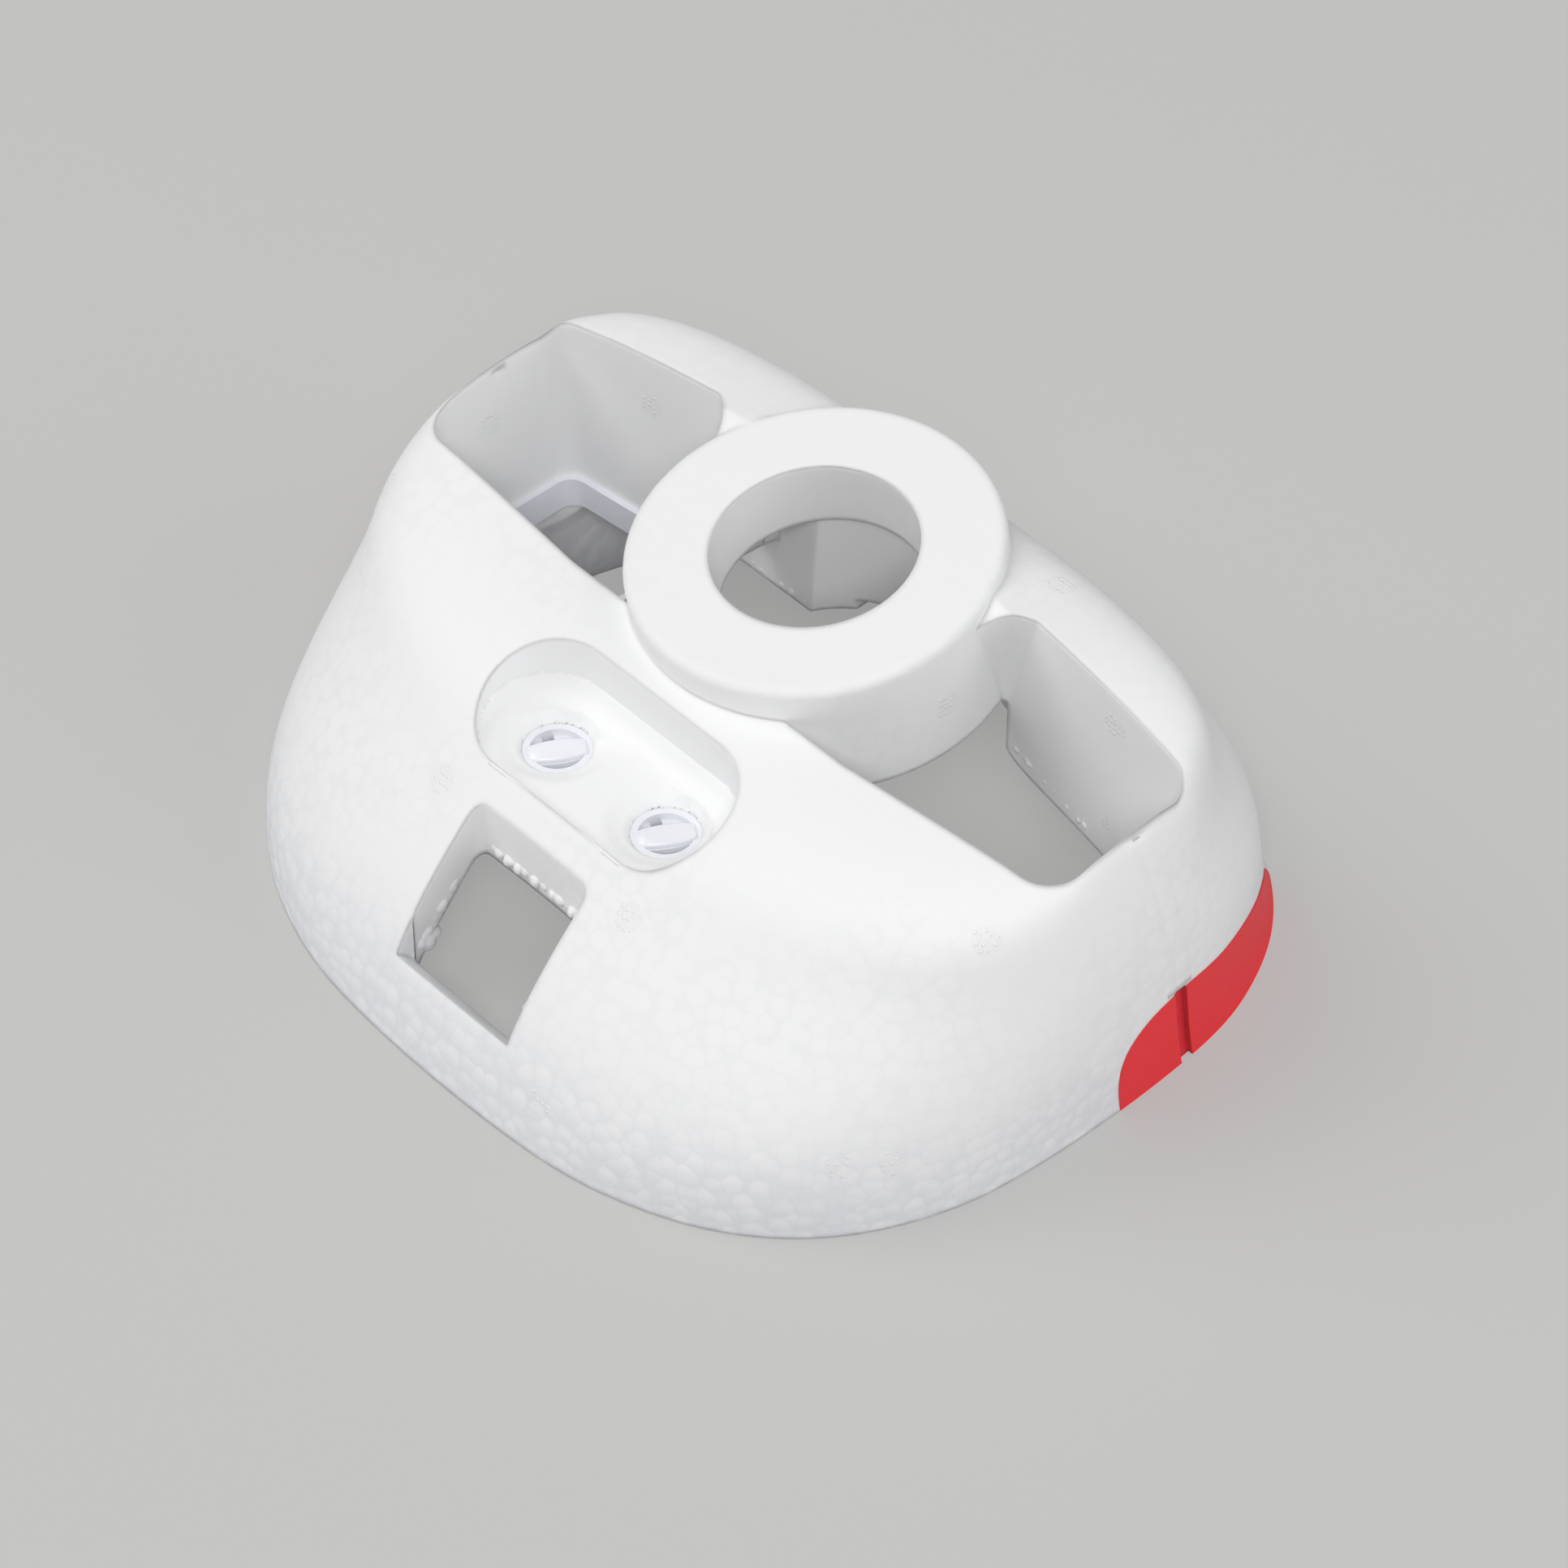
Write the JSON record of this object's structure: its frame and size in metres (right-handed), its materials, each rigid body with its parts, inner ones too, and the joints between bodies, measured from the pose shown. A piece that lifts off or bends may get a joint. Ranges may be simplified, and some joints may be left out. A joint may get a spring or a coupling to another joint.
{
  "type": "model aircraft cowling",
  "caption": "Moulded foam nose cowling of a large model aeroplane, with a spinner collar, cheek inlets, a chin intake and a recess for landing lights.",
  "frame": {"origin": "middle of the rear rim's outline, at the level of the rim", "axes": "+Z out of the nose, +Y towards the crown, -Y the chin, X across the two cheek inlets with the wire gap on +X"},
  "size_m": [0.1824, 0.1633, 0.077],
  "materials": {
    "foam": "moulded bead foam, soft sheen",
    "red_film": "thin gloss film",
    "lamp_plastic": "moulded, glossy",
    "liner_plastic": "formed sheet, glossy"
  },
  "bodies": {
    "root": {"cowl_shell": "foam", "stripe_right": "red_film", "stripe_left": "red_film", "lamp_holder_left": "lamp_plastic", "lamp_holder_right": "lamp_plastic", "inlet_liner": "liner_plastic"}
  },
  "joints": []
}
